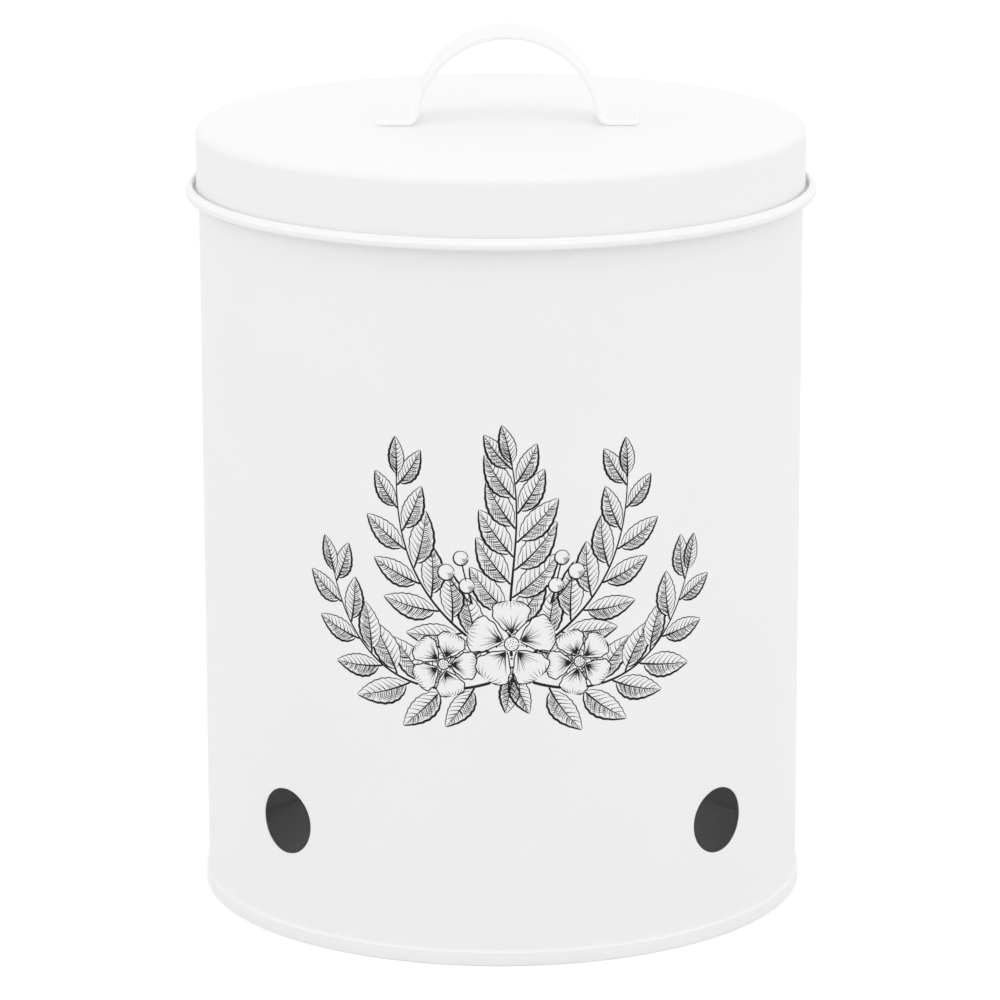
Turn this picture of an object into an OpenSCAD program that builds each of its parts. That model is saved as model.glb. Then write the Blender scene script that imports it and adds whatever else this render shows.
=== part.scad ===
// Round sheet-steel storage bin with a lift-off lid, a strap handle and vents near its foot.
// Millimetres, +Z up. The origin is on the table, on the axis of the wall, and the front faces -Y.

/* [Wall] */
// Outer diameter of the wall
wall_d = 210; // [150:1:320]
// Height from the table to the top of the rolled rim
bin_h = 252.2; // [150:0.1:400]
// Thickness of the coated sheet
sheet_t = 0.5; // [0.3:0.05:0.7]
// Width of the upright lap seam at the back
lap_w = 6; // [4:0.5:10]
// How far the lap stands out from the wall
lap_t = 0.5; // [0.3:0.05:0.8]

/* [Rim] */
// Height of the rim, from its crest to the underside of the rolled edge
rim_h = 4.15; // [3.6:0.05:6]
// Inside radius of the fold along the crest
crest_bend_r = 0.1; // [0.1:0.05:0.3]
// Outer diameter of the rolled edge
roll_d = 2.55; // [2.2:0.05:3.2]
// Height of the straight side of the rolled edge
roll_side = 0.5; // [0.1:0.05:1]
// Angle that the rim turns through, from the neck to its cut edge
roll_turn = 295; // [200:5:300]
// Depth of the ledge below the top of the rim
ledge_drop = 3.9; // [3.5:0.1:9]
// Inside radius of the bends under and over the ledge
ledge_bend_r = 0.8; // [0.4:0.05:0.8]

/* [Vents] */
// Diameter of a vent
vent_d = 23; // [12:0.5:30]
// Height of the vents' centres above the table
vent_z = 42; // [26:0.5:70]
// Number of vents, evenly spaced
vent_count = 4; // [2:1:6]
// Angle of the first vent from +X
vent_start = -45; // [-60:1:-30]

/* [Base] */
// Height of the folded band round the foot
band_h = 5.1; // [4.5:0.1:8]
// How far the band stands out from the wall
band_proud = 0.85; // [0.6:0.05:1.5]
// Radius on the band's edges
band_edge_r = 0.45; // [0.2:0.05:0.5]
// Height of the base panel's underside above the table
panel_z = 4; // [2.5:0.1:6]
// Radius of the bend round the base panel
panel_bend_r = 1; // [0.6:0.1:1.5]

/* [Lid] */
// Height of the lid's top above the rim
lid_rise = 20.1; // [8:0.1:60]
// How far the lid's skirt stands out from the wall
skirt_proud = 0.85; // [0.7:0.05:1.2]
// Gap between the skirt and the inside of the rim
neck_gap = 1.3; // [1:0.1:2]
// Outer radius of the lid's top corner
lid_corner_r = 3; // [1.5:0.1:6]
// Inside radius of the two bends where the skirt is drawn in
jog_bend_r = 0.4; // [0.2:0.05:0.45]
// Depth of the lid's centring ring below the ledge
ring_h = 8; // [4:0.5:20]
// Clearance between the centring ring and the wall
ring_gap = 0.35; // [0.3:0.05:0.6]
// Clearance between the lid and the ledge that it rests on
seat_gap = 0.3; // [0.2:0.05:0.5]

/* [Handle] */
// Width of the strap
strap_w = 25; // [15:0.5:40]
// Thickness of the strap
strap_t = 2; // [1:0.1:3]
// Inner radius of the arch
arch_r = 31.2; // [24:0.1:40]
// Depth of the arch's centre below the lid's top
arch_drop = 1.05; // [0:0.05:3]
// Inside radius of the bends above the feet
foot_bend_r = 2.2; // [1.5:0.1:4]
// Length from the end of one foot to the end of the other
foot_span = 91; // [88:0.5:120]
// Corner radius of the feet, seen from above
foot_corner_r = 3; // [1:0.5:6]
// Sideways offset of the handle from the lid's centre
handle_x = 2.4; // [-4:0.1:4]
// Offset of the handle towards the back
handle_y = 3; // [-4:0.1:4]

/* [Hidden] */
$fn = 144;

// Straight steps in a quarter turn of a small bend
quarter = 8;
coat = [0.96, 0.96, 0.95];

wall_r = wall_d / 2;
wall_in_r = wall_r - sheet_t;
wall_mid_r = wall_r - sheet_t / 2;

// The neck is the short upright part between the ledge and the rolled edge
skirt_r = wall_r + skirt_proud;
neck_mid_r = skirt_r + neck_gap + sheet_t / 2;
ledge_z = bin_h - ledge_drop;
ledge_mid_r = ledge_bend_r + sheet_t / 2;
ledge_lower = [wall_mid_r + ledge_mid_r, ledge_z - sheet_t / 2 - ledge_mid_r];
ledge_upper = [neck_mid_r - ledge_mid_r, ledge_z - sheet_t / 2 + ledge_mid_r];

// From the crest the rim slopes down to the rolled edge, along the line that touches both bends
crest_mid_r = crest_bend_r + sheet_t / 2;
crest_centre = [neck_mid_r + crest_mid_r, bin_h - sheet_t / 2 - crest_mid_r];
roll_mid_r = (roll_d - sheet_t) / 2;
roll_lower = [neck_mid_r + roll_mid_r, bin_h - rim_h + roll_d / 2];
roll_upper = roll_lower + [0, roll_side];
slope = crest_centre - roll_upper;
slope_a = atan2(slope[1], slope[0]) - acos((roll_mid_r - crest_mid_r) / norm(slope));

// The lid's lower corner sits over the rounded inner edge of the ledge
lid_z = bin_h + lid_rise;
skirt_mid_r = skirt_r - sheet_t / 2;
ring_mid_r = wall_in_r - ring_gap - sheet_t / 2;
jog_mid_r = jog_bend_r + sheet_t / 2;
seat_reach = jog_bend_r + ledge_bend_r + 2 * sheet_t + seat_gap;
seat_x = skirt_mid_r - jog_mid_r - ledge_lower[0];
jog_centre_z = ledge_lower[1] + sqrt(seat_reach * seat_reach - seat_x * seat_x);
jog_mid_z = jog_centre_z - jog_mid_r;

// The bends above the feet touch the arch and the plane of the feet
bend_mid_r = foot_bend_r + strap_t / 2;
arch_mid_r = arch_r + strap_t / 2;
bend_z = strap_t / 2 + bend_mid_r;
bend_x = sqrt(pow(arch_mid_r + bend_mid_r, 2) - pow(bend_z + arch_drop, 2));
bend_a = atan2(bend_z + arch_drop, bend_x);

function unit(v) = v / norm(v);

// Points on an arc about c from angle a to angle b, in n straight steps.
// An arc that runs straight on from its neighbours leaves out skip points at each end.
function arc(c, r, a, b, n = quarter, skip = 0) =
    [for (i = [skip:n - skip]) let (t = a + (b - a) * i / n) c + r * [cos(t), sin(t)]];

// The direction across a path at point i, long enough to keep both neighbours parallel
function across(path, i) =
    let (last = len(path) - 1)
    let (a = unit(path[max(i, 1)] - path[max(i, 1) - 1]))
    let (b = unit(path[min(i, last - 1) + 1] - path[min(i, last - 1)]))
    let (m = unit(a + b))
    [-m[1], m[0]] / (m * a);

// The outline of a sheet of thickness t that follows a path along its middle
function sheet(path, t) =
    let (last = len(path) - 1)
    concat(
        [for (i = [0:last]) path[i] + across(path, i) * t / 2],
        [for (i = [last:-1:0]) path[i] - across(path, i) * t / 2]
    );

wall_path = concat(
    [[wall_mid_r, sheet_t]],
    arc(ledge_lower, ledge_mid_r, 180, 90),
    arc(ledge_upper, ledge_mid_r, -90, 0),
    arc(crest_centre, crest_mid_r, 180, slope_a, 2 * quarter),
    arc(roll_upper, roll_mid_r, slope_a, 0),
    arc(roll_lower, roll_mid_r, 0, 180 - roll_turn, 2 * quarter)
);

lid_corner_mid_r = lid_corner_r - sheet_t / 2;
lid_path = concat(
    [[0, lid_z - sheet_t / 2]],
    arc([skirt_mid_r - lid_corner_mid_r, lid_z - lid_corner_r], lid_corner_mid_r, 90, 0),
    arc([skirt_mid_r - jog_mid_r, jog_centre_z], jog_mid_r, 0, -90),
    arc([ring_mid_r + jog_mid_r, jog_mid_z - jog_mid_r], jog_mid_r, 90, 180),
    [[ring_mid_r, ledge_z - ring_h]]
);

// The panel, then the fold round the wall's lower edge, with the wall's slot left free
base_outline = concat(
    [[0, panel_z]],
    arc([wall_in_r - sheet_t - panel_bend_r, panel_z - panel_bend_r], panel_bend_r, 90, 0),
    arc([wall_in_r - sheet_t + band_edge_r, band_edge_r], band_edge_r, 180, 270),
    arc([wall_r + band_proud - band_edge_r, band_edge_r], band_edge_r, 270, 360),
    arc([wall_r + band_proud - band_edge_r, band_h - band_edge_r], band_edge_r, 0, 90),
    [[wall_r, band_h], [wall_r, sheet_t], [wall_in_r, sheet_t]],
    arc([wall_in_r - sheet_t - panel_bend_r, panel_z - panel_bend_r], panel_bend_r + sheet_t, 0, 90),
    [[0, panel_z + sheet_t]]
);

handle_path = concat(
    [[-foot_span / 2, strap_t / 2]],
    arc([-bend_x, bend_z], bend_mid_r, -90, -bend_a),
    arc([0, -arch_drop], arch_mid_r, 180 - bend_a, bend_a, 12 * quarter, 1),
    arc([bend_x, bend_z], bend_mid_r, 180 + bend_a, 270),
    [[foot_span / 2, strap_t / 2]]
);

// The upright lap at the back, between the band and the ledge
module lap_seam() {
    translate([0, 0, band_h])
        linear_extrude(ledge_lower[1] - band_h)
            intersection() {
                difference() {
                    circle(r = wall_r + lap_t);
                    circle(r = wall_mid_r);
                }
                translate([-lap_w / 2, 0])
                    square([lap_w, wall_d]);
            }
}

module vents() {
    for (i = [0:vent_count - 1])
        rotate([0, 0, vent_start + i * 360 / vent_count])
            translate([wall_r, 0, vent_z])
                rotate([0, 90, 0])
                    cylinder(d = vent_d, h = wall_r / 2, center = true, $fn = 72);
}

module body_wall() {
    color(coat)
        difference() {
            union() {
                rotate_extrude()
                    polygon(sheet(wall_path, sheet_t));
                lap_seam();
            }
            vents();
        }
}

module base_disc() {
    color(coat)
        rotate_extrude()
            polygon(base_outline);
}

module lid_shell() {
    color(coat)
        rotate_extrude()
            polygon(sheet(lid_path, sheet_t));
}

// The feet's plan, with its four corners rounded
module strap_plan() {
    inner = [foot_span - 2 * foot_corner_r, strap_w - 2 * foot_corner_r];
    square([foot_span, inner[1]], center = true);
    square([inner[0], strap_w], center = true);
    for (x = [-1, 1], y = [-1, 1])
        translate([x * inner[0] / 2, y * inner[1] / 2])
            circle(r = foot_corner_r, $fn = 48);
}

module lid_handle() {
    color(coat)
        translate([handle_x, handle_y, lid_z])
            intersection() {
                rotate([90, 0, 0])
                    linear_extrude(2 * strap_w, center = true)
                        polygon(sheet(handle_path, strap_t));
                linear_extrude(2 * arch_mid_r)
                    strap_plan();
            }
}

body_wall();
base_disc();
lid_shell();
lid_handle();
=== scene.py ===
# Looks of a round white storage bin with a lift-off lid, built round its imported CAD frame.
# Shapes are worked out in millimetres, and add_piece turns them into metres. The origin is on the
# table, on the axis of the wall. The front faces -Y and up is +Z.

import math

import bmesh
import bpy
import numpy as np
from mathutils import Matrix, Vector


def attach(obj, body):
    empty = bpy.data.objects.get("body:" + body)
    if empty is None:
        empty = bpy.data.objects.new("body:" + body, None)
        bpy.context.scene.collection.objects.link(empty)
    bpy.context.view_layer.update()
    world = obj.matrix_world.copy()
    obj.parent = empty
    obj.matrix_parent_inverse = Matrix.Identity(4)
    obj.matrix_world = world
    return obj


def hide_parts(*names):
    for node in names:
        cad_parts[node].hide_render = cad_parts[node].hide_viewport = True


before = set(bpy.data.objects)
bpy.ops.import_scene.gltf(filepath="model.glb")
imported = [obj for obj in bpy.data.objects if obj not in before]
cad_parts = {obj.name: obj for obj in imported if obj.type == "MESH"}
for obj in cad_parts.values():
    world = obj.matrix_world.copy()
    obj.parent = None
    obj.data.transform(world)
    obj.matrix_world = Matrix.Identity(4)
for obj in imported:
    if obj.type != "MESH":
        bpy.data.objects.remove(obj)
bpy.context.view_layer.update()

# Wall, rim and vents, in millimetres, as in the CAD source
WALL_R = 105.0
BIN_H = 252.2
SHEET = 0.5
LAP_W = 6.0
LAP_T = 0.5
RIM_H = 4.15
CREST_BEND_R = 0.1
ROLL_D = 2.55
ROLL_SIDE = 0.5
ROLL_TURN = 295.0
ROLL_HELD = 0.05
LEDGE_DROP = 3.9
LEDGE_BEND_R = 0.8
VENT_R = 11.5
VENT_Z = 42.0
VENT_ANGLES = (-45.0, 45.0, 135.0, 225.0)

# Slopes of the lap seam: where they start beside it and above the band, and their widths at its
# sides, foot and top
SEAM_START = 0.1
SEAM_SLOPE = 0.4
SEAM_FOOT_SLOPE = 0.3
SEAM_TOP_SLOPE = 0.45

# Base
BAND_H = 5.1
BAND_PROUD = 0.85
BAND_EDGE_R = 0.45
PANEL_Z = 4.0
PANEL_BEND_R = 1.0

# Lid
LID_RISE = 20.1
SKIRT_PROUD = 0.85
NECK_GAP = 1.3
LID_CORNER_R = 3.0
JOG_BEND_R = 0.4
RING_H = 8.0
RING_GAP = 0.35
SEAT_GAP = 0.3

# Handle
STRAP_W = 25.0
STRAP_T = 2.0
ARCH_R = 31.2
ARCH_DROP = 1.05
FOOT_BEND_R = 2.2
FOOT_SPAN = 91.0
FOOT_CORNER_R = 3.0
STRAP_EDGE_R = 0.85
HANDLE_X = 2.4
HANDLE_Y = 3.0

# Spot-weld marks on the feet: places off the handle's middle, radius, width of the slope, and depth
WELD_X = 40.6
WELD_Y = 6.2
WELD_R = 2.3
WELD_SLOPE = 0.9
WELD_DEPTH = 0.09

# Places that follow from the sizes
WALL_IN_R = WALL_R - SHEET
WALL_MID_R = WALL_R - SHEET / 2
SKIRT_MID_R = WALL_R + SKIRT_PROUD - SHEET / 2
NECK_MID_R = WALL_R + SKIRT_PROUD + NECK_GAP + SHEET / 2
LEDGE_Z = BIN_H - LEDGE_DROP
LEDGE_MID_R = LEDGE_BEND_R + SHEET / 2
LEDGE_LOWER = (WALL_MID_R + LEDGE_MID_R, LEDGE_Z - SHEET / 2 - LEDGE_MID_R)
LEDGE_UPPER = (NECK_MID_R - LEDGE_MID_R, LEDGE_Z - SHEET / 2 + LEDGE_MID_R)
WALL_TOP_Z = LEDGE_LOWER[1] - 0.15
CREST_MID_R = CREST_BEND_R + SHEET / 2
CREST = (NECK_MID_R + CREST_MID_R, BIN_H - SHEET / 2 - CREST_MID_R)
ROLL_MID_R = (ROLL_D - SHEET) / 2
ROLL_LOWER = (NECK_MID_R + ROLL_MID_R, BIN_H - RIM_H + ROLL_D / 2)
ROLL_UPPER = (ROLL_LOWER[0], ROLL_LOWER[1] + ROLL_SIDE)
SLOPE_LENGTH = math.hypot(CREST[0] - ROLL_UPPER[0], CREST[1] - ROLL_UPPER[1])
SLOPE_A = math.degrees(
    math.atan2(CREST[1] - ROLL_UPPER[1], CREST[0] - ROLL_UPPER[0])
    - math.acos((ROLL_MID_R - CREST_MID_R) / SLOPE_LENGTH)
)
LID_Z = BIN_H + LID_RISE
RING_MID_R = WALL_IN_R - RING_GAP - SHEET / 2
JOG_MID_R = JOG_BEND_R + SHEET / 2
SEAT_REACH = JOG_BEND_R + LEDGE_BEND_R + 2 * SHEET + SEAT_GAP
SEAT_X = SKIRT_MID_R - JOG_MID_R - LEDGE_LOWER[0]
JOG_Z = LEDGE_LOWER[1] + math.sqrt(SEAT_REACH**2 - SEAT_X**2)
FOOT_BEND_MID_R = FOOT_BEND_R + STRAP_T / 2
ARCH_MID_R = ARCH_R + STRAP_T / 2
FOOT_BEND_Z = STRAP_T / 2 + FOOT_BEND_MID_R
FOOT_BEND_X = math.sqrt((ARCH_MID_R + FOOT_BEND_MID_R) ** 2 - (FOOT_BEND_Z + ARCH_DROP) ** 2)
FOOT_BEND_A = math.degrees(math.atan2(FOOT_BEND_Z + ARCH_DROP, FOOT_BEND_X))

# Fineness of the turned surfaces: columns in a full turn, and cells along a vent's square patch
COLUMNS = 288
CELLS = 16
COLUMN_TURN = 2 * math.pi / COLUMNS
TURN = np.arange(COLUMNS) * COLUMN_TURN


# Surfaces

def arc(centre, radius, start, end, steps):
    """Points on a circle: centre + radius * (cos t, sin t), with t from start to end in degrees."""
    t = np.radians(np.linspace(start, end, steps + 1))
    return np.stack((centre[0] + radius * np.cos(t), centre[1] + radius * np.sin(t)), axis=1)


def right_of(path):
    """The step of one to the right of each point of a path: the mean of the two neighbouring legs'
    right-hand normals, made longer so that the sides of an offset path stay parallel to the legs."""
    leg = np.diff(path, axis=0)
    leg /= np.linalg.norm(leg, axis=1, keepdims=True)
    before = np.vstack((leg[:1], leg))
    after = np.vstack((leg, leg[-1:]))
    middle = before + after
    middle /= np.linalg.norm(middle, axis=1, keepdims=True)
    stretch = np.sum(middle * before, axis=1, keepdims=True)
    return np.stack((middle[:, 1], -middle[:, 0]), axis=1) / stretch


def sheet(path, thickness):
    """The outline of a sheet about its middle line: out along the right side, round the end on a
    half circle, and back along the left side."""
    right = right_of(path) * thickness / 2
    forward = path[-1] - path[-2]
    forward = forward / np.linalg.norm(forward) * thickness / 2
    t = np.radians(np.linspace(0, 180, 7))[1:-1, None]
    path = np.vstack((path[:-1], path[-1] - forward))
    end = path[-1] + np.cos(t) * right[-1] + np.sin(t) * forward
    return np.vstack((path + right, end, (path - right)[::-1]))


def turned(outline, angles=TURN):
    """A profile turned about the axis: radius r and height z at angle t are (r cos t, r sin t, z)."""
    r = outline[:, :1]
    z = outline[:, 1:] + 0 * angles
    return np.stack((r * np.cos(angles), r * np.sin(angles), z), axis=-1)


def cells(points, wrap, keep=None):
    """The corners and the four-sided cells of a grid of points, rows by columns. With wrap, the last
    column joins the first. keep marks the cells that stay."""
    rows, columns = points.shape[:2]
    row, column = np.meshgrid(
        np.arange(rows - 1), np.arange(columns if wrap else columns - 1), indexing="ij"
    )
    after = (column + 1) % columns
    here = row * columns
    there = here + columns
    corners = np.stack((here + column, here + after, there + after, there + column), axis=-1)
    if keep is not None:
        corners = corners[keep]
    return points.reshape(-1, 3), corners.reshape(-1, 4)


def add_piece(name, parts, weld=0.001, sharp=40.0):
    """One mesh object from grids in millimetres. Points closer than weld are merged, which closes
    the seams and poles, and edges that turn more than sharp degrees are shaded as edges."""
    firsts = np.cumsum([0] + [len(points) for points, faces in parts[:-1]])
    points = np.concatenate([points for points, faces in parts]) * 0.001
    faces = np.concatenate([faces + first for first, (_, faces) in zip(firsts, parts)])
    mesh = bpy.data.meshes.new(name)
    mesh.from_pydata(points, [], faces.tolist())
    work = bmesh.new()
    work.from_mesh(mesh)
    bmesh.ops.remove_doubles(work, verts=work.verts, dist=weld * 0.001)
    loose = [v for v in work.verts if not v.link_faces]
    bmesh.ops.delete(work, geom=loose, context="VERTS")
    work.to_mesh(mesh)
    work.free()
    mesh.shade_smooth()
    mesh.set_sharp_from_angle(angle=math.radians(sharp))
    piece = bpy.data.objects.new(name, mesh)
    bpy.context.scene.collection.objects.link(piece)
    return piece


def soften(value):
    """Eases a ramp from 0 to 1: 3v^2 - 2v^3, held at both ends."""
    value = np.clip(value, 0, 1)
    return value * value * (3 - 2 * value)


def note_edges(piece, amount):
    """Stores on each point how far it is on a bend or edge, where the coat is thinner, from 0 to 1."""
    count = len(piece.data.vertices)
    places = np.empty(count * 3, np.float32)
    piece.data.vertices.foreach_get("co", places)
    places = places.reshape(-1, 3) * 1000
    edge = piece.data.attributes.new("edge", "FLOAT", "POINT")
    edge.data.foreach_set("value", amount(places).astype(np.float32))


# The wall, with its ledge, rolled rim, vents and lap seam

def wall_top():
    """The wall's profile above its straight part: out over the ledge, up the neck, sharply over
    the crest, down the slope and round the roll on the outer side, and back on the inner side. It
    is held a hair inside the roll's full radius, where the CAD's own facets end."""
    path = np.vstack((
        (WALL_MID_R, WALL_TOP_Z),
        arc(LEDGE_LOWER, LEDGE_MID_R, 180, 90, 8),
        arc(LEDGE_UPPER, LEDGE_MID_R, -90, 0, 8),
        arc(CREST, CREST_MID_R, 180, SLOPE_A, 10),
        arc(ROLL_UPPER, ROLL_MID_R, SLOPE_A, 0, 6),
        arc(ROLL_LOWER, ROLL_MID_R, 0, 180 - ROLL_TURN, 12),
    ))
    return np.minimum(sheet(path, SHEET), (ROLL_LOWER[0] + ROLL_D / 2 - ROLL_HELD, BIN_H))


def vent_square(k):
    """The side of a vent's square patch, in cells from its middle, at step k of its boundary: a
    wave that climbs, stays at the top, falls and stays at the bottom."""
    half = CELLS // 2
    return np.clip(np.abs((k - half) % (4 * CELLS) - 2 * CELLS) - CELLS, -half, half)


def vent_patch(angle, lip=0.16):
    """A vent: a strip of rings, from the square patch on the outer face in to the hole, through
    the sheet over two rounded edges of radius lip, and back out to the square on the inner face.
    Each ring blends the circle with the square in the face's own turn and height."""
    k = np.arange(4 * CELLS)
    around = np.radians(-45 + 90 * k / CELLS)
    square = np.stack((vent_square(k) * COLUMN_TURN, vent_square(k - CELLS) * COLUMN_TURN * WALL_R))
    spread = np.linspace(1, 0, 8)[:, None] ** 1.4
    bend = np.radians(np.linspace(0, 90, 5))[:, None]
    widen = lip * (1 - np.sin(bend))
    depth = lip * (1 - np.cos(bend))
    grow = np.vstack((0 * spread + lip, widen, widen[::-1], 0 * spread + lip))
    inset = np.vstack((0 * spread, depth, SHEET - depth[::-1], 0 * spread + SHEET))
    blend = np.vstack((spread, 0 * widen, 0 * widen, spread[::-1]))
    radius = WALL_R - inset
    hole = VENT_R + grow
    turn = np.arcsin(hole * np.cos(around) / radius) * (1 - blend) + square[0] * blend
    height = VENT_Z + hole * np.sin(around) * (1 - blend) + square[1] * blend
    turn = turn + math.radians(angle)
    return np.stack((radius * np.cos(turn), radius * np.sin(turn), height), axis=-1)


def wall_turns():
    """The wall's columns: evenly spaced, with close ones where the lap seam rises."""
    seam = math.pi / 2
    rise = (LAP_W / 2 + np.linspace(SEAM_START - SEAM_SLOPE, SEAM_START, 7)) / WALL_R
    return np.sort(np.concatenate((TURN, seam - rise, seam + rise)))


def wall_face(radius, turns, rows, lap):
    """A face of the wall's straight part: a cylinder, and where lap is set, raised by the seam's
    thickness between its two sides and its two ends, with eased slopes."""
    across = np.abs(turns - math.pi / 2) * WALL_R
    side = soften((LAP_W / 2 + SEAM_START - across) / SEAM_SLOPE)
    foot = soften((rows - BAND_H - SEAM_START) / SEAM_FOOT_SLOPE)
    top = soften((WALL_TOP_Z - rows) / SEAM_TOP_SLOPE)
    r = radius + lap * (foot * top)[:, None] * side
    return np.stack((r * np.cos(turns), r * np.sin(turns), rows[:, None] + 0 * turns), axis=-1)


def build_wall():
    """The wall: its outer and inner faces with square holes, a vent's patch in each hole, the
    profile of its top, and its lower edge."""
    half = CELLS // 2
    step = COLUMN_TURN * WALL_R
    low = VENT_Z - half * step
    high = VENT_Z + half * step
    rows = np.concatenate((
        (SHEET, 2.8),
        BAND_H + SEAM_START + np.linspace(0, SEAM_FOOT_SLOPE, 4),
        (10, 14.5, 19),
        np.linspace(low, high, CELLS + 1),
        np.linspace(high, WALL_TOP_Z - SEAM_TOP_SLOPE, 25)[1:],
        WALL_TOP_Z - np.linspace(SEAM_TOP_SLOPE, 0, 4)[1:],
    ))
    turns = wall_turns()
    middle_row = (rows[:-1] + rows[1:]) / 2
    middle_turn = turns + np.diff(turns, append=2 * math.pi) / 2
    solid = np.ones((len(rows) - 1, len(turns)), bool)
    for angle in VENT_ANGLES:
        off = (middle_turn - math.radians(angle) + math.pi) % (2 * math.pi) - math.pi
        beside = np.abs(off) < half * COLUMN_TURN
        level = np.abs(middle_row - VENT_Z) < half * step
        solid &= ~(beside & level[:, None])
    edge = np.array([[WALL_IN_R, SHEET], [WALL_R, SHEET]])
    parts = [
        cells(wall_face(WALL_R, turns, rows, LAP_T), True, solid),
        cells(wall_face(WALL_IN_R, turns, rows, 0.0)[::-1], True, solid[::-1]),
        cells(turned(wall_top(), turns), True),
        cells(turned(edge, turns), True),
    ]
    parts += [cells(vent_patch(angle), True) for angle in VENT_ANGLES]
    piece = add_piece("wall_sheet", parts)

    def amount(p):
        """The vents' lips, the lap's two edges and the rim's crest."""
        lip = np.ones(len(p))
        for angle in VENT_ANGLES:
            a = math.radians(angle)
            aside = -p[:, 0] * math.sin(a) + p[:, 1] * math.cos(a)
            facing = p[:, 0] * math.cos(a) + p[:, 1] * math.sin(a) > 0
            reach = np.hypot(aside, p[:, 2] - VENT_Z) - VENT_R
            lip = np.minimum(lip, np.where(facing, reach, 9))
        lap = np.abs(np.abs(p[:, 0]) - LAP_W / 2) + 9 * (p[:, 1] < 0) + 9 * (p[:, 2] > LEDGE_LOWER[1])
        crest = soften(1 - (BIN_H - p[:, 2]) / 0.5)
        return np.maximum.reduce((soften(1 - lip / 0.5), soften(1 - lap / 0.4) * 0.6, crest * 0.8))

    note_edges(piece, amount)
    return piece


# The base, with the folded band that the bin stands on

def build_base():
    """The base pan's closed profile, turned: the recessed panel, its bend, the foot ring, the band
    outside the wall, and the slot that holds the wall's lower edge, with a hair of room. The flat
    panel is divided into rings, so that its cells stay short."""
    room = 0.02
    bend = (WALL_IN_R - SHEET - PANEL_BEND_R, PANEL_Z - PANEL_BEND_R)
    outer = WALL_R + BAND_PROUD - BAND_EDGE_R
    rings = np.array((0, 6, 20, 40, 60, 75, 90, 100))[:, None]
    outline = np.vstack((
        np.hstack((rings, 0 * rings + PANEL_Z)),
        arc(bend, PANEL_BEND_R, 90, 0, 6),
        arc((WALL_IN_R - SHEET + BAND_EDGE_R, BAND_EDGE_R), BAND_EDGE_R, 180, 270, 6),
        arc((outer, BAND_EDGE_R), BAND_EDGE_R, 270, 360, 6),
        arc((outer, BAND_H - BAND_EDGE_R), BAND_EDGE_R, 0, 90, 6),
        ((WALL_R + room, BAND_H), (WALL_R + room, SHEET - room), (WALL_IN_R - room, SHEET - room)),
        arc(bend, PANEL_BEND_R + SHEET, 0, 90, 6),
        np.hstack((rings, 0 * rings + PANEL_Z + SHEET))[::-1],
    ))
    piece = add_piece("base_pan", [cells(turned(outline), True)])

    def amount(p):
        """The lower edges of the foot ring and the band's upper edge."""
        r = np.hypot(p[:, 0], p[:, 1])
        low = soften(1 - p[:, 2] / 0.5) * (r > WALL_IN_R - SHEET - 0.1)
        high = soften(1 - (BAND_H - p[:, 2]) / 0.4) * (r > WALL_R)
        return np.maximum(low, high * 0.7)

    note_edges(piece, amount)
    return piece


# The lid, with its skirt and the ring that centres it

def build_lid():
    """The lid's sheet, turned: flat top, divided into rings like the base, round corner, skirt, the
    two bends that draw it in over the ledge, and the centring ring."""
    corner = LID_CORNER_R - SHEET / 2
    ring_top = JOG_Z - JOG_MID_R
    rings = np.array((0, 3, 8, 16, 26, 36, 46, 56, 66, 76, 84, 92, 98))[:, None]
    path = np.vstack((
        np.hstack((rings, 0 * rings + LID_Z - SHEET / 2)),
        arc((SKIRT_MID_R - corner, LID_Z - LID_CORNER_R), corner, 90, 0, 12),
        np.stack((np.full(3, SKIRT_MID_R), np.linspace(LID_Z - 8, JOG_Z + 4, 3)), axis=1),
        arc((SKIRT_MID_R - JOG_MID_R, JOG_Z), JOG_MID_R, 0, -90, 6),
        arc((RING_MID_R + JOG_MID_R, ring_top - JOG_MID_R), JOG_MID_R, 90, 180, 6),
        ((RING_MID_R, LEDGE_Z - RING_H + 1), (RING_MID_R, LEDGE_Z - RING_H)),
    ))
    piece = add_piece("lid_pan", [cells(turned(sheet(path, SHEET)), True)])

    def amount(p):
        """The round corner of the lid, most in the middle of its bend."""
        r = np.hypot(p[:, 0], p[:, 1])
        shoulder = np.hypot(r - (SKIRT_MID_R - corner), p[:, 2] - (LID_Z - LID_CORNER_R))
        bend = (r > SKIRT_MID_R - corner) & (p[:, 2] > LID_Z - LID_CORNER_R) & (shoulder > corner)
        slope = np.arctan2(p[:, 2] - (LID_Z - LID_CORNER_R), r - (SKIRT_MID_R - corner))
        return np.where(bend, np.sin(2 * np.clip(slope, 0, math.pi / 2)), 0)

    note_edges(piece, amount)
    return piece


# The strap handle

def strap_line():
    """The strap's middle line in side view, from one foot's round corner to the other's: a foot, a
    bend, the arch, a bend, a foot. build_handle adds the corners."""
    side = FOOT_SPAN / 2 - FOOT_CORNER_R
    foot = np.linspace(-side, -FOOT_BEND_X, 7)[1:-1]
    foot = np.stack((foot, np.full(len(foot), STRAP_T / 2)), axis=1)
    left_bend = arc((-FOOT_BEND_X, FOOT_BEND_Z), FOOT_BEND_MID_R, -90, -FOOT_BEND_A, 10)
    arch = arc((0, -ARCH_DROP), ARCH_MID_R, 180 - FOOT_BEND_A, FOOT_BEND_A, 96)
    mirror = np.array((-1, 1))
    return np.vstack((foot, left_bend, arch[1:-1], left_bend[::-1] * mirror, foot[::-1] * mirror))


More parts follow.
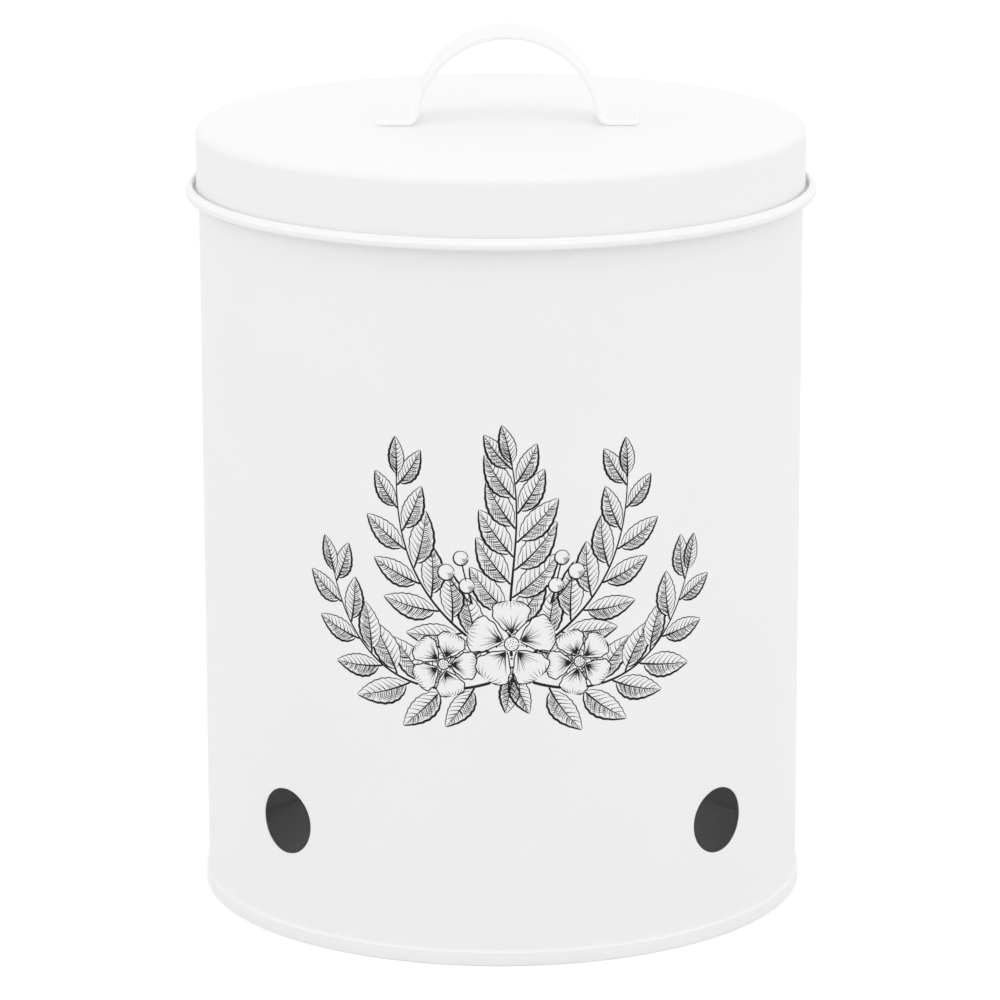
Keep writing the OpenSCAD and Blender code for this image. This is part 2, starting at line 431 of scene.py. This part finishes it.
def build_handle():
    """The strap: a section with rounded edges, carried along the middle line. A level of the section
    is a height off the middle and an inset: t/2 - r + r cos a, and r - r sin a, for the edge radius
    r. At the feet's corners, each level turns on its own arc, of the corner radius less its inset.
    Each spot weld leaves a shallow electrode mark on top."""
    line = strap_line()
    up = -right_of(line)
    bend = np.radians(np.linspace(0, 90, 6))
    high = STRAP_T / 2 - STRAP_EDGE_R + STRAP_EDGE_R * np.cos(bend)
    inset = STRAP_EDGE_R - STRAP_EDGE_R * np.sin(bend)
    high = np.concatenate((high, -high[::-1]))
    inset = np.concatenate((inset, inset[::-1]))
    share = np.linspace(1, -1, 27)
    edge = np.ones(len(high) - 2)
    share_round = np.concatenate((share, -edge, -share, edge))
    high_round = np.concatenate((0 * share + high[0], high[1:-1], 0 * share - high[0], high[-2:0:-1]))
    inset_round = np.concatenate((0 * share, inset[1:-1], 0 * share, inset[-2:0:-1]))
    inset_round[np.abs(high_round) == high[0]] = STRAP_EDGE_R
    x = line[:, :1] + high_round * up[:, :1]
    z = line[:, 1:] + high_round * up[:, 1:]
    y = share_round * (STRAP_W / 2 - inset_round) + 0 * x
    turn = np.radians(np.linspace(0, 90, 10))[:, None]
    radius = FOOT_CORNER_R - inset_round
    end_x = -FOOT_SPAN / 2 + FOOT_CORNER_R - radius * np.cos(turn)
    end_y = share_round * (STRAP_W / 2 - FOOT_CORNER_R + radius * np.sin(turn))
    end_z = STRAP_T / 2 + high_round + 0 * end_x
    strap = np.stack((
        np.vstack((end_x, x, -end_x[::-1])),
        np.vstack((end_y, y, end_y[::-1])),
        np.vstack((end_z, z, end_z[::-1])),
    ), axis=-1)
    on_top = strap[..., 2] > STRAP_T - 0.01
    for x_side, y_side in ((-1, -1), (-1, 1), (1, -1), (1, 1)):
        away = np.hypot(strap[..., 0] - x_side * WELD_X, strap[..., 1] - y_side * WELD_Y)
        strap[..., 2] -= WELD_DEPTH * soften((WELD_R - away) / WELD_SLOPE) * on_top
    cut_x = -FOOT_SPAN / 2 + inset[:, None] + 0 * share
    cut_y = share * (STRAP_W / 2 - FOOT_CORNER_R) + 0 * cut_x
    cut_z = STRAP_T / 2 + high[:, None] + 0 * cut_x
    finish = np.stack((-cut_x, cut_y, cut_z), axis=-1)
    start = finish[::-1] * (-1, 1, 1)
    shift = np.array((HANDLE_X, HANDLE_Y, LID_Z))
    parts = [cells(strap + shift, True), cells(start + shift, False), cells(finish + shift, False)]
    piece = add_piece("strap_handle", parts)

    def amount(p):
        """The strap's two long edges."""
        side = STRAP_W / 2 - np.abs(p[:, 1] - HANDLE_Y)
        return soften(1 - side / 0.8)

    note_edges(piece, amount)
    return piece


# The print on the front: five leafy sprigs fanned behind three blossoms, in engraver's lines

PRINT_TURN = 3.3
PRINT_Z = 139.0
PRINT_R = WALL_R + 0.015
INK_DEPTH = 0.03
LEAF_PAIRS = 6
LEAF_FORM = (0.72, 1.0)
PETAL_FORM = (0.95, 0.42)
draw = np.random.default_rng(11)
strokes = []
covers = []


def half_width(form, width, u):
    """Half the width of a blade at u along it: u^a (1-u)^b, scaled to reach half the full width."""
    peak, tip = form
    widest = peak / (peak + tip)
    most = widest**peak * (1 - widest) ** tip
    u = np.clip(u, 0, 1)
    return width / 2 * u**peak * (1 - u) ** tip / most


def on_blade(blade, u, v):
    """The place on a leaf or petal: u along its middle, which bends as u squared, and v across,
    from -1 to 1, times its half width there."""
    base, angle, length, width, bend, form = blade
    x = length * u + 0 * v
    y = bend * length * u**2 + v * half_width(form, width, u)
    c = math.cos(angle)
    s = math.sin(angle)
    return np.stack((base[0] + x * c - y * s, base[1] + x * s + y * c), axis=-1)


def in_blade(blade, points):
    """True where points lie on a leaf or petal, by the inverse of on_blade for a small bend."""
    base, angle, length, width, bend, form = blade
    x = points[..., 0] - base[0]
    y = points[..., 1] - base[1]
    u = (x * math.cos(angle) + y * math.sin(angle)) / length
    v = y * math.cos(angle) - x * math.sin(angle) - bend * length * u**2
    return (u > 0) & (u < 1) & (np.abs(v) < half_width(form, width, u))


def stroke(points, width, layer):
    """Keeps one or several lines of the same number of points. A layer covers the ones below."""
    points = points if points.ndim == 3 else points[None]
    strokes.append((points, np.broadcast_to(width, points.shape[:2]), layer))


def fade(count, first=0.0, last=0.0):
    """A line's width along it: 1, thinned at the first and last share of its length."""
    t = np.linspace(0, 1, count)
    start = np.clip(t / first, 0, 1) ** 0.6 if first else 1
    return start * (np.clip((1 - t) / last, 0, 1) ** 0.7 if last else 1)


def draw_leaf(base, angle, length, width, bend, dark, layer):
    """A leaf: a waved outline, heavier on its dark side, a midrib with a stalk, side veins, and
    shading lines that follow the veins, long and crossed on the dark side."""
    blade = (base, angle, length, width, bend, LEAF_FORM)
    covers.append((layer, blade))
    u = np.linspace(0, 1, 32)
    wave = 1 + 0.035 * np.sin(2 * np.pi * (u * 7 + draw.random()))
    for side in (-1, 1):
        heavy = 0.85 if side == dark else 0.38
        stroke(on_blade(blade, u, side * wave), heavy * (0.45 + 0.55 * np.sin(np.pi * u) ** 0.8), layer)
    u = np.linspace(-0.12, 0.97, 20)
    stroke(on_blade(blade, u, 0 * u), 0.6 * (1 - np.clip(u, 0, 1)) ** 0.8 + 0.08, layer)
    # Count, first and last start along the midrib, least and most reach, side, width, points
    rows = (
        (7, 0.08, 0.74, 0.95, 0.95, -1, 0.30, 8),
        (7, 0.08, 0.74, 0.95, 0.95, 1, 0.30, 8),
        (int(length * 1.25), 0.04, 0.86, 0.55, 0.98, dark, 0.27, 6),
        (int(length * 0.6), 0.03, 0.80, 0.15, 0.45, -dark, 0.20, 5),
    )
    for count, low, high, short, long, side, width, steps in rows:
        t = np.linspace(0, 1, steps)
        start = np.linspace(low, high, count)[:, None] + draw.uniform(-0.008, 0.008, (count, 1))
        reach = draw.uniform(short, long + 0.001, (count, 1)) * t
        along = start + 0.2 * (1 - 0.4 * start) * reach**1.35
        stroke(on_blade(blade, along, side * reach), width * fade(steps, last=0.85), layer)
    t = np.linspace(0, 1, 5)
    start = np.linspace(0.1, 0.42, 6)[:, None]
    crossed = on_blade(blade, start + 0.16 * (1 - t), dark * (0.35 + 0.55 * t) + 0 * start)
    stroke(crossed, 0.2 * fade(5, 0.3, 0.4), layer)


def ring(centre, radius, steps=28):
    """A circle's line."""
    t = np.linspace(0, 2 * np.pi, steps)
    return np.stack((centre[0] + radius * np.cos(t), centre[1] + radius * np.sin(t)), axis=-1)


def spokes(centre, turns, inner, outer, steps):
    """Short lines that run out from a centre, one for each turn in degrees."""
    a = np.radians(np.asarray(turns, float))[:, None]
    r = np.linspace(inner, outer, steps)
    return np.stack((centre[0] + r * np.cos(a), centre[1] + r * np.sin(a)), axis=-1)


def draw_blossom(centre, size, turn, layer):
    """A blossom: five petals with lines that fade from both ends, a dotted eye, and anthers."""
    for k in range(5):
        angle = math.radians(turn + 72 * k)
        base = (centre[0] + 0.1 * size * math.cos(angle), centre[1] + 0.1 * size * math.sin(angle))
        blade = (base, angle, 0.42 * size, 0.44 * size, 0.03, PETAL_FORM)
        covers.append((layer, blade))
        u = np.linspace(0, 1, 34)
        for side in (-1, 1):
            wave = 1 + 0.05 * np.sin(2 * np.pi * (3 * u + draw.random()))
            stroke(on_blade(blade, u, side * wave), 0.42, layer)
        t = np.linspace(0, 1, 7)
        v = np.linspace(-0.82, 0.82, 13)[:, None]
        reach = draw.uniform(0.3, 0.62, (13, 1))
        stroke(on_blade(blade, 0.04 + reach * t, v * (0.35 + 0.65 * t)), 0.28 * fade(7, last=0.8), layer)
        v = np.linspace(-0.75, 0.75, 7)[:, None]
        reach = draw.uniform(0.12, 0.25, (7, 1))
        stroke(on_blade(blade, 0.97 - reach * t, v + 0 * t), 0.22 * fade(7, last=0.8), layer)
    eye = 0.085 * size
    covers.append((layer + 1, (centre, eye)))
    stroke(ring(centre, eye), 0.4, layer + 1)
    turns = turn + 20 + 40 * np.arange(9)
    stroke(spokes(centre, turns, 0.09 * size, 0.16 * size, 5), 0.25, layer + 2)
    stroke(spokes(centre, turns, 0.163 * size, 0.19 * size, 4), (0.5, 0.85, 0.85, 0.5), layer + 2)
    k = np.arange(14)
    r = 0.8 * eye * np.sqrt((k + 0.5) / 14)
    dots = np.stack((centre[0] + r * np.cos(2.4 * k), centre[1] + r * np.sin(2.4 * k)), axis=-1)
    dash = np.stack((np.linspace(-0.2, 0.2, 4), np.zeros(4)), axis=-1)
    stroke(dots[:, None] + dash, 0.4, layer + 2)


def draw_berry(centre, radius, foot, layer):
    """A berry on a bowed stalk: its outline, heavier below, and four crescent lines."""
    covers.append((layer, (centre, radius)))
    t = np.linspace(0, 2 * np.pi, 28)
    stroke(ring(centre, radius), 0.42 + 0.16 * np.sin(t + 3.6), layer)
    for k in range(4):
        t = np.radians(np.linspace(-80 + 10 * k, 20 - 10 * k, 10))
        r = radius * (0.8 - 0.2 * k)
        line = np.stack((centre[0] + r * np.cos(t), centre[1] + r * np.sin(t)), axis=-1)
        stroke(line, 0.26 * fade(10, 0.4, 0.4), layer)
    t = np.linspace(0, 1, 14)[:, None]
    bow = (np.asarray(foot) + centre) / 2 + (0, -1.6)
    line = (1 - t) ** 2 * foot + 2 * (1 - t) * t * bow + t**2 * np.asarray(centre)
    stroke(line, 0.5, layer - 1)


def draw_sprig(corners, pairs, length, width, layer):
    """A sprig: its stem on a cubic curve through four corners, thinning to its tip, with pairs of
    leaves set off to both sides and one at the tip."""
    p = np.array(corners, float)

    def stem(t):
        """The cubic curve: s^3 p0 + 3 s^2 t p1 + 3 s t^2 p2 + t^3 p3, with s = 1 - t."""
        t = np.asarray(t, float)[..., None]
        s = 1 - t
        return s**3 * p[0] + 3 * s**2 * t * p[1] + 3 * s * t**2 * p[2] + t**3 * p[3]

    t = np.linspace(0, 1, 120)
    stroke(stem(t), 1.1 - 0.7 * t, 0)
    lean = 1 if p[3, 0] >= 0 else -1
    for i, at in enumerate(np.linspace(0.2, 0.93, pairs)):
        for side in (-1, 1):
            here, there = stem((at + 0.035 * side * lean, at + 0.035 * side * lean + 0.01))
            size = (0.72 + 0.42 * math.sin(math.pi * (0.18 + 0.75 * at))) * draw.uniform(0.93, 1.07)
            spread = math.radians(52 - 14 * at + draw.uniform(-5, 5))
            angle = math.atan2(*(there - here)[::-1]) + side * spread
            base = here + 0.12 * length * size * np.array((math.cos(angle), math.sin(angle)))
            bend = -0.16 * side * draw.uniform(0.5, 1.3)
            dark = -1 if math.cos(angle) > 0 else 1
            draw_leaf(base, angle, length * size, width * size, bend, dark, layer + i)
    before, tip = stem((0.99, 1.0))
    draw_leaf(tip, math.atan2(*(tip - before)[::-1]), length * 0.8, width * 0.72, 0.05, 1, layer + pairs)


def uncovered(points, layer):
    """True where no leaf, petal or disc of a higher layer lies over the points."""
    clear = np.ones(points.shape[:-1], bool)
    for height, cover in covers:
        if height <= layer:
            continue
        if len(cover) == 2:
            clear &= np.linalg.norm(points - cover[0], axis=-1) > cover[1]
        else:
            clear &= ~in_blade(cover, points)
    return clear


def ink(points, widths, layer):
    """A film of ink along each line: three edges, left, right and a low crown between them. It
    narrows to nothing at the line's ends and where a higher layer covers it, so that it is closed.
    A point (s, z) of the design lies on the wall at the angle (s + PRINT_TURN) / R to the right of
    the front, and at the height z + PRINT_Z."""
    clear = uncovered(points, layer)
    widths = widths * clear
    widths[:, 0] = 0
    widths[:, -1] = 0
    along = np.gradient(points, axis=1)
    along /= np.maximum(np.linalg.norm(along, axis=-1, keepdims=True), 1e-9)
    left = np.stack((-along[..., 1], along[..., 0]), axis=-1) * widths[..., None] / 2
    flat = np.stack((points + left, points, points - left), axis=2)
    crown = np.array((0, 1, 0)) * INK_DEPTH * (widths > 0)[..., None]
    radius = PRINT_R + crown
    angle = (flat[..., 0] + PRINT_TURN) / WALL_R
    places = np.stack(
        (radius * np.sin(angle), -radius * np.cos(angle), flat[..., 1] + PRINT_Z), axis=-1
    )
    drawn = (widths[:, 1:] > 0) | (widths[:, :-1] > 0)
    lines, steps = drawn.shape
    here = (np.arange(lines)[:, None] * (steps + 1) + np.arange(steps)) * 3
    here = here[drawn][:, None]
    order = np.array(((0, 1, 4, 3), (1, 2, 5, 4), (2, 0, 3, 5)))
    return places.reshape(-1, 3), (here[..., None] + order).reshape(-1, 4)


def build_print():
    """The whole design: sprigs, two low leaves, berries and blossoms, back to front by layer."""
    # Corners of the stem's curve, length and width of its leaves, and layer
    sprigs = (
        (((0, -36), (-24, -48), (-54, -42), (-63, -4)), 15.5, 7.4, 10),
        (((0, -36), (24, -48), (54, -42), (64, -5)), 15.5, 7.4, 20),
        (((0, -34), (-16, -22), (-40, -10), (-39, 32)), 16.0, 7.4, 30),
        (((0, -34), (16, -22), (40, -10), (40, 31)), 16.0, 7.4, 40),
        (((0, -30), (-3, -8), (5, 12), (0, 37)), 16.5, 7.6, 50),
    )
    for corners, length, width, layer in sprigs:
        draw_sprig(corners, LEAF_PAIRS, length, width, layer)
    for angle, length in ((-104, 13), (-70, 14)):
        draw_leaf(np.array((0.5, -37.0)), math.radians(angle), length, 6.6, 0.05, -1, 62)
    for side in (-1, 1):
        foot = np.array((side * 13, -12))
        draw_berry(np.array((side * 17.0, 4.0)), 2.5, foot, 64)
        draw_berry(np.array((side * 22.0, -1.0)), 2.8, foot, 66)
        draw_berry(np.array((side * 15.0, -5.5)), 2.6, foot, 68)
    draw_blossom(np.array((-23.0, -33.0)), 22, 70, 75)
    draw_blossom(np.array((23.0, -32.5)), 22, 112, 78)
    draw_blossom(np.array((0.0, -25.5)), 29, 90, 82)
    return add_piece("front_print", [ink(*line) for line in strokes], weld=0.0005)


# Materials

WHITE = (0.925, 0.925, 0.923)
THIN_COAT = 0.96
COAT_SPECULAR = 0.4
INK = (0.003, 0.003, 0.0025)
THIN_INK = (0.022, 0.02, 0.017)
INK_SPECULAR = 0.25


def node(tree, kind, sockets=None, **settings):
    """A node of a tree. Each socket is given a value, or the output that feeds it."""
    made = tree.nodes.new(kind)
    for name, value in settings.items():
        setattr(made, name, value)
    for name, value in (sockets or {}).items():
        socket = made.inputs[name]
        if isinstance(value, bpy.types.NodeSocket):
            tree.links.new(value, socket)
        else:
            socket.default_value = value
    return made


def maths(tree, operation, first, second=0.5, third=0.5):
    """The result of a sum in the tree. MULTIPLY_ADD is first * second + third."""
    made = node(tree, "ShaderNodeMath", {0: first, 1: second, 2: third}, operation=operation)
    return made.outputs[0]


def noise(tree, place, per_mm, detail, rough=0.5):
    """A cloud pattern whose lumps are about 1 / per_mm millimetres across."""
    sockets = {"Vector": place, "Scale": per_mm, "Detail": detail, "Roughness": rough}
    return node(tree, "ShaderNodeTexNoise", sockets).outputs["Fac"]


def ramp(tree, value, low, high, bottom=0.0, top=1.0):
    """Maps low to high onto bottom to top, with an eased slope, held at both ends."""
    sockets = {"Value": value, "From Min": low, "From Max": high, "To Min": bottom, "To Max": top}
    made = node(tree, "ShaderNodeMapRange", sockets, interpolation_type="SMOOTHSTEP")
    return made.outputs["Result"]


def group(name, inputs, outputs):
    """A new node group with named sockets, and the outputs of its input node."""
    tree = bpy.data.node_groups.new(name, "ShaderNodeTree")
    for label, kind in inputs.items():
        tree.interface.new_socket(label, in_out="INPUT", socket_type="NodeSocket" + kind)
    for label, kind in outputs.items():
        tree.interface.new_socket(label, in_out="OUTPUT", socket_type="NodeSocket" + kind)
    return tree, tree.nodes.new("NodeGroupInput").outputs


def powder_coat_group():
    """Baked powder coat: a fine orange peel, slow clouding of its tone, rare dust nibs under the
    film, faint rubs that are a little smoother, and a thinner film on bends and cut edges."""
    tree, given = group(
        "powder_coat",
        {"Place": "Vector", "Coat": "Color", "Thin coat": "Color", "Edge": "Float", "Peel": "Float"},
        {"Colour": "Color", "Roughness": "Float", "Height": "Float"},
    )
    place = given["Place"]
    cloud = noise(tree, place, per_mm=0.02, detail=3)
    grain = noise(tree, place, per_mm=1.6, detail=2)
    peel = noise(tree, place, per_mm=0.5, detail=2, rough=0.4)
    streak = {"Vector": place, "Rotation": (0.2, 0.3, 0.9), "Scale": (0.03, 0.35, 0.35)}
    stretched = node(tree, "ShaderNodeMapping", streak).outputs[0]
    rub = ramp(tree, noise(tree, stretched, 1.0, 3), 0.66, 0.74)
    cell = node(tree, "ShaderNodeTexVoronoi", {"Vector": place, "Scale": 0.04})
    dot = ramp(tree, cell.outputs["Distance"], 0.005, 0.016, 1.0, 0.0)
    chance = node(tree, "ShaderNodeSeparateColor", {0: cell.outputs["Color"]}).outputs[0]
    nib = maths(tree, "MULTIPLY", dot, ramp(tree, chance, 0.7, 0.72))
    clouding = maths(tree, "MULTIPLY", ramp(tree, cloud, 0.35, 0.7), 0.22)
    tone = maths(tree, "MULTIPLY_ADD", given["Edge"], 0.5, clouding)
    tone = maths(tree, "MULTIPLY_ADD", rub, 0.16, tone)
    tone = maths(tree, "MULTIPLY_ADD", nib, 0.5, tone)
    tone = maths(tree, "MULTIPLY_ADD", grain, 0.12, tone)
    mix = node(
        tree, "ShaderNodeMix", {0: tone, 6: given["Coat"], 7: given["Thin coat"]}, data_type="RGBA"
    )
    rough = maths(tree, "MULTIPLY_ADD", grain, 0.1, 0.40)
    rough = maths(tree, "MULTIPLY_ADD", cloud, 0.08, rough)
    rough = maths(tree, "MULTIPLY_ADD", given["Edge"], -0.06, rough)
    rough = maths(tree, "MULTIPLY_ADD", rub, -0.07, rough)
    high = maths(tree, "MULTIPLY_ADD", grain, 0.25, peel)
    high = maths(tree, "MULTIPLY", high, given["Peel"])
    high = maths(tree, "MULTIPLY_ADD", nib, 0.03, high)
    sockets = {"Colour": mix.outputs[2], "Roughness": rough, "Height": high}
    node(tree, "NodeGroupOutput", sockets)
    return tree


def print_ink_group():
    """Screen-printed ink: near black, with browner patches where the film is thin, and tiny pinholes
    that let the coat grey it."""
    tree, given = group(
        "screen_ink",
        {"Place": "Vector", "Ink": "Color", "Thin ink": "Color"},
        {"Colour": "Color", "Roughness": "Float", "Height": "Float"},
    )
    place = given["Place"]
    patch = ramp(tree, noise(tree, place, per_mm=0.12, detail=3), 0.4, 0.72)
    speck = ramp(tree, noise(tree, place, per_mm=3.0, detail=2), 0.6, 0.75)
    tone = maths(tree, "MULTIPLY_ADD", speck, 0.35, maths(tree, "MULTIPLY", patch, 0.5))
    mix = node(tree, "ShaderNodeMix", {0: tone, 6: given["Ink"], 7: given["Thin ink"]}, data_type="RGBA")
    rough = maths(tree, "MULTIPLY_ADD", speck, 0.12, maths(tree, "MULTIPLY_ADD", patch, 0.06, 0.46))
    high = maths(tree, "MULTIPLY", speck, -0.004)
    sockets = {"Colour": mix.outputs[2], "Roughness": rough, "Height": high}
    node(tree, "NodeGroupOutput", sockets)
    return tree


def place_in_mm(tree):
    """Object coordinates in millimetres."""
    metres = node(tree, "ShaderNodeTexCoord").outputs["Object"]
    return node(tree, "ShaderNodeMapping", {"Vector": metres, "Scale": (1000, 1000, 1000)}).outputs[0]


def finish_material(name, effect, sockets, specular):
    """A material whose colour, roughness and relief come from a shared group."""
    material = bpy.data.materials.new(name)
    material.use_nodes = True
    tree = material.node_tree
    tree.nodes.clear()
    made = node(tree, "ShaderNodeGroup", node_tree=effect)
    tree.links.new(place_in_mm(tree), made.inputs["Place"])
    for label, value in sockets.items():
        made.inputs[label].default_value = value
    if "Edge" in made.inputs:
        edge = node(tree, "ShaderNodeAttribute", attribute_name="edge")
        tree.links.new(edge.outputs["Fac"], made.inputs["Edge"])
    bump = node(tree, "ShaderNodeBump", {"Height": made.outputs["Height"], "Distance": 0.001})
    shader = node(tree, "ShaderNodeBsdfPrincipled", {
        "Base Color": made.outputs["Colour"],
        "Roughness": made.outputs["Roughness"],
        "Normal": bump.outputs[0],
        "Specular IOR Level": specular,
    })
    node(tree, "ShaderNodeOutputMaterial", {"Surface": shader.outputs[0]})
    return material


def coat_material(name, effect, peel):
    """Powder coat for one piece. peel is the height of its orange peel in millimetres."""
    thin = [THIN_COAT * tone for tone in WHITE]
    sockets = {"Coat": (*WHITE, 1), "Thin coat": (*thin, 1), "Peel": peel}
    return finish_material(name, effect, sockets, COAT_SPECULAR)


# The stage: floor, light and camera. The room's light goes from its first level to its second where
# the upward part of a direction goes through the rise. The floor's tone is what lights the object
# from below, and its lift is added only to what is seen.

ROOM_RISE = (0.25, 0.95)
ROOM_LEVELS = (1.235, 0.794)
FLOOR_TONE = 0.655
FLOOR_LIFT = 0.405
CAMERA_PLACE = (0, -1.79632, 0.58663)
CAMERA_LENS = 188.724
CAMERA_SHIFT = -0.0015
CAMERA_PITCH = 0.245287
CAMERA_ROLL = -0.0021


def shown(tree):
    """1 for what the camera, a reflection or glass sees, and 0 for the light that falls."""
    path = node(tree, "ShaderNodeLightPath").outputs
    seen = maths(tree, "MAXIMUM", path["Is Camera Ray"], path["Is Glossy Ray"])
    return maths(tree, "MAXIMUM", seen, path["Is Transmission Ray"])


def add_floor():
    """A round pale floor. What the camera sees of it is lifted to white where nothing shades it."""
    rings = np.array((0, 150, 300, 600, 1200, 2500, 5000, 9000.0))[::-1, None]
    floor = add_piece("floor", [cells(turned(np.hstack((rings, 0 * rings))), True)])
    material = bpy.data.materials.new("pale_floor")
    material.use_nodes = True
    tree = material.node_tree
    tree.nodes.clear()
    place = place_in_mm(tree)
    tone = noise(tree, place, per_mm=0.01, detail=3)
    greys = {0: tone, 6: (*[FLOOR_TONE - 0.01] * 3, 1), 7: (*[FLOOR_TONE + 0.01] * 3, 1)}
    colour = node(tree, "ShaderNodeMix", greys, data_type="RGBA")
    lift = maths(tree, "MULTIPLY", shown(tree), FLOOR_LIFT)
    shader = node(tree, "ShaderNodeBsdfPrincipled", {
        "Base Color": colour.outputs[2],
        "Roughness": 0.9,
        "Specular IOR Level": 0.0,
        "Emission Color": (1, 1, 1, 1),
        "Emission Strength": lift,
    })
    node(tree, "ShaderNodeOutputMaterial", {"Surface": shader.outputs[0]})
    floor.data.materials.append(material)


def add_world():
    """A soft white room, a little brighter at the walls than at the ceiling. The camera and
    reflections see plain white."""
    world = bpy.data.worlds.new("white_room")
    bpy.context.scene.world = world
    world.use_nodes = True
    tree = world.node_tree
    tree.nodes.clear()
    direction = node(tree, "ShaderNodeTexCoord").outputs["Generated"]
    height = node(tree, "ShaderNodeSeparateXYZ", {0: direction}).outputs["Z"]
    light = ramp(tree, height, *ROOM_RISE, *ROOM_LEVELS)
    strength = node(tree, "ShaderNodeMix", {0: shown(tree), 2: light, 3: 1.0}).outputs[0]
    backdrop = node(tree, "ShaderNodeBackground", {"Color": (1, 1, 1, 1), "Strength": strength})
    node(tree, "ShaderNodeOutputWorld", {"Surface": backdrop.outputs[0]})


def add_panel(name, place, aim, size, power):
    """A square soft light that faces a point."""
    light = bpy.data.lights.new(name, "AREA")
    light.shape = "SQUARE"
    light.size = size
    light.energy = power
    lamp = bpy.data.objects.new(name, light)
    turn = (Vector(place) - Vector(aim)).to_track_quat("Z", "Y")
    lamp.matrix_world = Matrix.Translation(place) @ turn.to_matrix().to_4x4()
    bpy.context.scene.collection.objects.link(lamp)


def add_camera():
    """The photograph's view: a long lens 1.8 m off, looking down by 14 degrees."""
    data = bpy.data.cameras.new("camera")
    data.sensor_width = 36
    data.lens = CAMERA_LENS
    data.shift_x = CAMERA_SHIFT
    camera = bpy.data.objects.new("camera", data)
    tilt = Matrix.Rotation(math.pi / 2 - CAMERA_PITCH, 4, "X")
    roll = Matrix.Rotation(CAMERA_ROLL, 4, "Z")
    camera.matrix_world = Matrix.Translation(CAMERA_PLACE) @ tilt @ roll
    bpy.context.scene.collection.objects.link(camera)
    bpy.context.scene.camera = camera


scene = bpy.context.scene
scene.view_settings.view_transform = "Standard"
add_camera()
add_floor()
add_world()
add_panel("key_panel", (0.1, -0.85, 2.05), aim=(0, 0, 0.2), size=1.2, power=3.43)
add_panel("left_panel", (-1.7, -0.2, 0.7), aim=(0, 0, 0.15), size=1.0, power=0.785)
add_panel("right_panel", (1.7, -0.2, 0.7), aim=(0, 0, 0.15), size=1.0, power=0.835)
scene.cycles.max_bounces = 16
scene.cycles.diffuse_bounces = 12

coat = powder_coat_group()
finishes = (
    (build_wall(), "bin", "body_wall", "wall_coat", coat_material("wall_powder_coat", coat, 0.004)),
    (build_base(), "bin", "base_disc", "base_coat", coat_material("base_powder_coat", coat, 0.005)),
    (build_lid(), "lid", "lid_shell", "lid_coat", coat_material("lid_powder_coat", coat, 0.004)),
    (build_handle(), "lid", "lid_handle", "handle_coat", coat_material("handle_powder_coat", coat, 0.006)),
)
for piece, body, replaced, slot, material in finishes:
    piece.data.materials.append(material)
    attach(piece, body)
    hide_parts(replaced)

inks = {"Ink": (*INK, 1), "Thin ink": (*THIN_INK, 1)}
artwork = build_print()
artwork.data.materials.append(finish_material("print_ink", print_ink_group(), inks, INK_SPECULAR))
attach(artwork, "bin")
